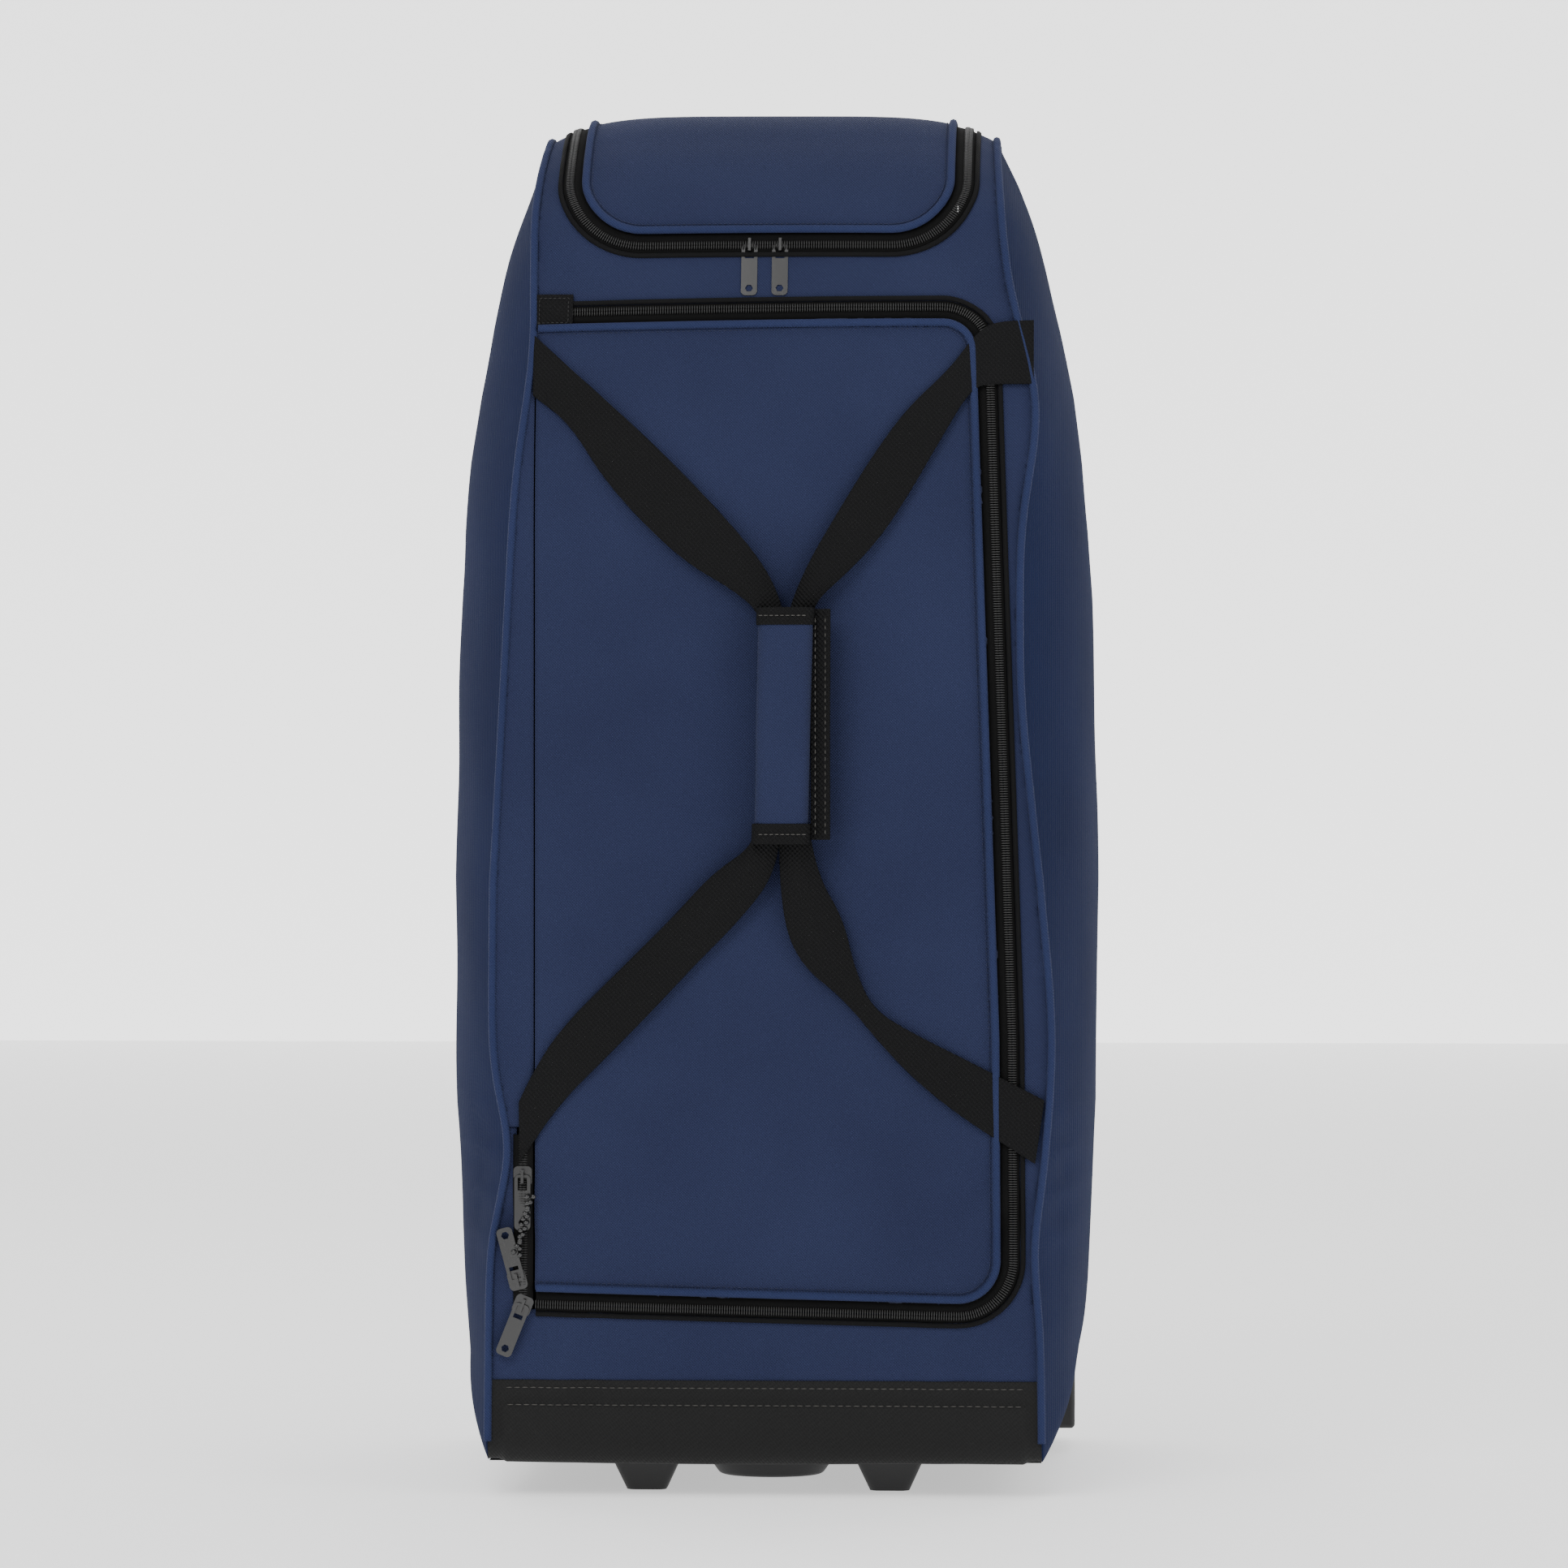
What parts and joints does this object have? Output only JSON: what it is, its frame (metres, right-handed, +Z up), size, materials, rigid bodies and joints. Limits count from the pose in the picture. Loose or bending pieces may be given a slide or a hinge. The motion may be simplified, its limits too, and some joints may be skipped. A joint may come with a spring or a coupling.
{
  "type": "rolling duffel bag",
  "caption": "Tall soft duffel bag on wheels with a zipped lid, a top pocket, carry straps joined by a wrap, and a sliding pull handle.",
  "frame": {"origin": "on the floor under the middle of the bag", "axes": "+Z up, -Y towards the zipped lid, +X to the right seen from the lid side"},
  "size_m": [0.4316, 0.43, 0.913],
  "materials": {
    "navy_cloth": "coarse twill polyester",
    "navy_welt": "covered piping",
    "black_webbing": "ribbed webbing",
    "zip_tape": "woven tape with a coil",
    "coated_black": "embossed coated fabric",
    "black_metal": "semi-gloss black",
    "moulded_black": "fine texture",
    "gloss_black": "glossy",
    "board": "stiff board",
    "tube_metal": "anodised",
    "tyre_rubber": "smooth tread",
    "bearing_steel": "turned"
  },
  "bodies": {
    "bag": {"back_board": "board", "back_panel": "navy_cloth", "back_skids": "moulded_black", "base_board": "board", "bead_chain": "black_metal", "centre_glide": "gloss_black", "front_feet": "moulded_black", "front_panel": "navy_cloth", "handle_cup": "moulded_black", "handle_outer_tubes": "tube_metal", "kick_plate": "moulded_black", "kick_plate_rivets": "bearing_steel", "leather_band": "coated_black", "left_side_panel": "navy_cloth", "left_side_welt": "navy_welt", "left_strap_roots": "black_webbing", "left_wheel_housing": "moulded_black", "lid_hinge_strip": "navy_cloth", "main_corner_pull": "black_metal", "main_corner_slider": "black_metal", "main_leg_pull": "black_metal", "main_leg_slider": "black_metal", "main_zip_tape": "zip_tape", "pocket_divider": "board", "pocket_zip_tape": "zip_tape", "right_side_panel": "navy_cloth", "right_side_welt": "navy_welt", "right_strap_roots": "black_webbing", "right_wheel_housing": "moulded_black", "top_panel": "navy_cloth", "tube_foot_bracket": "moulded_black", "wheel_axles": "black_metal"},
    "lid": {"lid_panel": "navy_cloth", "lid_welt": "navy_welt", "lid_zip_tape": "zip_tape"},
    "left_handle": {"left_strap": "black_webbing", "grip_wrap": "navy_cloth"},
    "wrap_flap": {"wrap_flap": "black_webbing"},
    "right_handle": {"right_strap": "black_webbing"},
    "pocket_flap": {"pocket_flap": "navy_cloth", "flap_welt": "navy_welt", "flap_zip_tape": "zip_tape"},
    "main_slider": {"main_lower_slider": "black_metal"},
    "main_pull": {"main_lower_pull": "black_metal"},
    "pocket_left_slider": {"pocket_left_slider": "black_metal"},
    "pocket_left_pull": {"pocket_left_pull": "black_metal"},
    "pocket_right_slider": {"pocket_right_slider": "black_metal"},
    "pocket_right_pull": {"pocket_right_pull": "black_metal"},
    "middle_stage": {"handle_middle_tubes": "tube_metal", "middle_tube_plugs": "moulded_black"},
    "inner_stage": {"handle_inner_tubes": "tube_metal", "inner_tube_plugs": "moulded_black", "pull_grip": "moulded_black"},
    "release_button": {"release_button": "moulded_black"},
    "left_wheel": {"left_wheel_tyre": "tyre_rubber", "left_wheel_hub": "moulded_black", "left_wheel_bearings": "bearing_steel"},
    "right_wheel": {"right_wheel_tyre": "tyre_rubber", "right_wheel_hub": "moulded_black", "right_wheel_bearings": "bearing_steel"}
  },
  "joints": [
    {"name": "lid_hinge", "type": "hinge", "parent": "bag", "child": "lid", "pos_m": [-0.15, -0.18, 0.45], "axis": [0, 0, -1], "range_deg": [0, 105], "deforming": ["left_strap"]},
    {"name": "handle_lift", "type": "hinge", "parent": "lid", "child": "left_handle", "pos_m": [-0.15, -0.18, 0.45], "axis": [0, 0, -1], "range_deg": [0, 14]},
    {"name": "wrap_flap_hinge", "type": "hinge", "parent": "left_handle", "child": "wrap_flap", "pos_m": [0.0312, -0.2035, 0.5025], "axis": [0, 0, -1], "range_deg": [0, 100]},
    {"name": "right_handle_lift", "type": "hinge", "parent": "bag", "child": "right_handle", "pos_m": [0.176, -0.186, 0.45], "axis": [0, 0, 1], "range_deg": [0, 14], "deforming": ["right_strap"]},
    {"name": "pocket_flap_hinge", "type": "hinge", "parent": "bag", "child": "pocket_flap", "pos_m": [0, 0.098, 0.9058], "axis": [-1, 0, 0], "range_deg": [0, 95]},
    {"name": "main_zip_slide", "type": "slide", "parent": "bag", "child": "main_slider", "axis": [0.9996, 0, -0.0269], "range_m": [0, 0.25]},
    {"name": "main_pull_hinge", "type": "hinge", "parent": "main_slider", "child": "main_pull", "pos_m": [-0.157, -0.1833, 0.125], "axis": [-0.9272, 0, 0.3746], "range_deg": [0, 150]},
    {"name": "pocket_left_slide", "type": "slide", "parent": "pocket_flap", "child": "pocket_left_slider", "axis": [-1, 0, 0], "range_m": [0, 0.065]},
    {"name": "pocket_left_pull_hinge", "type": "hinge", "parent": "pocket_left_slider", "child": "pocket_left_pull", "pos_m": [-0.011, -0.14761, 0.81627], "axis": [-1, 0, 0], "range_deg": [0, 150]},
    {"name": "pocket_right_slide", "type": "slide", "parent": "pocket_flap", "child": "pocket_right_slider", "axis": [1, 0, 0], "range_m": [0, 0.065]},
    {"name": "pocket_right_pull_hinge", "type": "hinge", "parent": "pocket_right_slider", "child": "pocket_right_pull", "pos_m": [0.009, -0.14761, 0.81627], "axis": [-1, 0, 0], "range_deg": [0, 150]},
    {"name": "middle_stage_slide", "type": "slide", "parent": "bag", "child": "middle_stage", "axis": [0, 0, 1], "range_m": [0, 0.15]},
    {"name": "inner_stage_slide", "type": "slide", "parent": "middle_stage", "child": "inner_stage", "axis": [0, 0, 1], "range_m": [0, 0.15]},
    {"name": "release_button_press", "type": "slide", "parent": "inner_stage", "child": "release_button", "axis": [0, 0, -1], "range_m": [0, 0.003], "stiffness_N_per_m": 300, "springref_m": -0.001},
    {"name": "left_wheel_spin", "type": "hinge", "parent": "bag", "child": "left_wheel", "pos_m": [-0.172, 0.177, 0.038], "axis": [1, 0, 0], "continuous": true},
    {"name": "right_wheel_spin", "type": "hinge", "parent": "bag", "child": "right_wheel", "pos_m": [0.172, 0.177, 0.038], "axis": [1, 0, 0], "continuous": true}
  ]
}
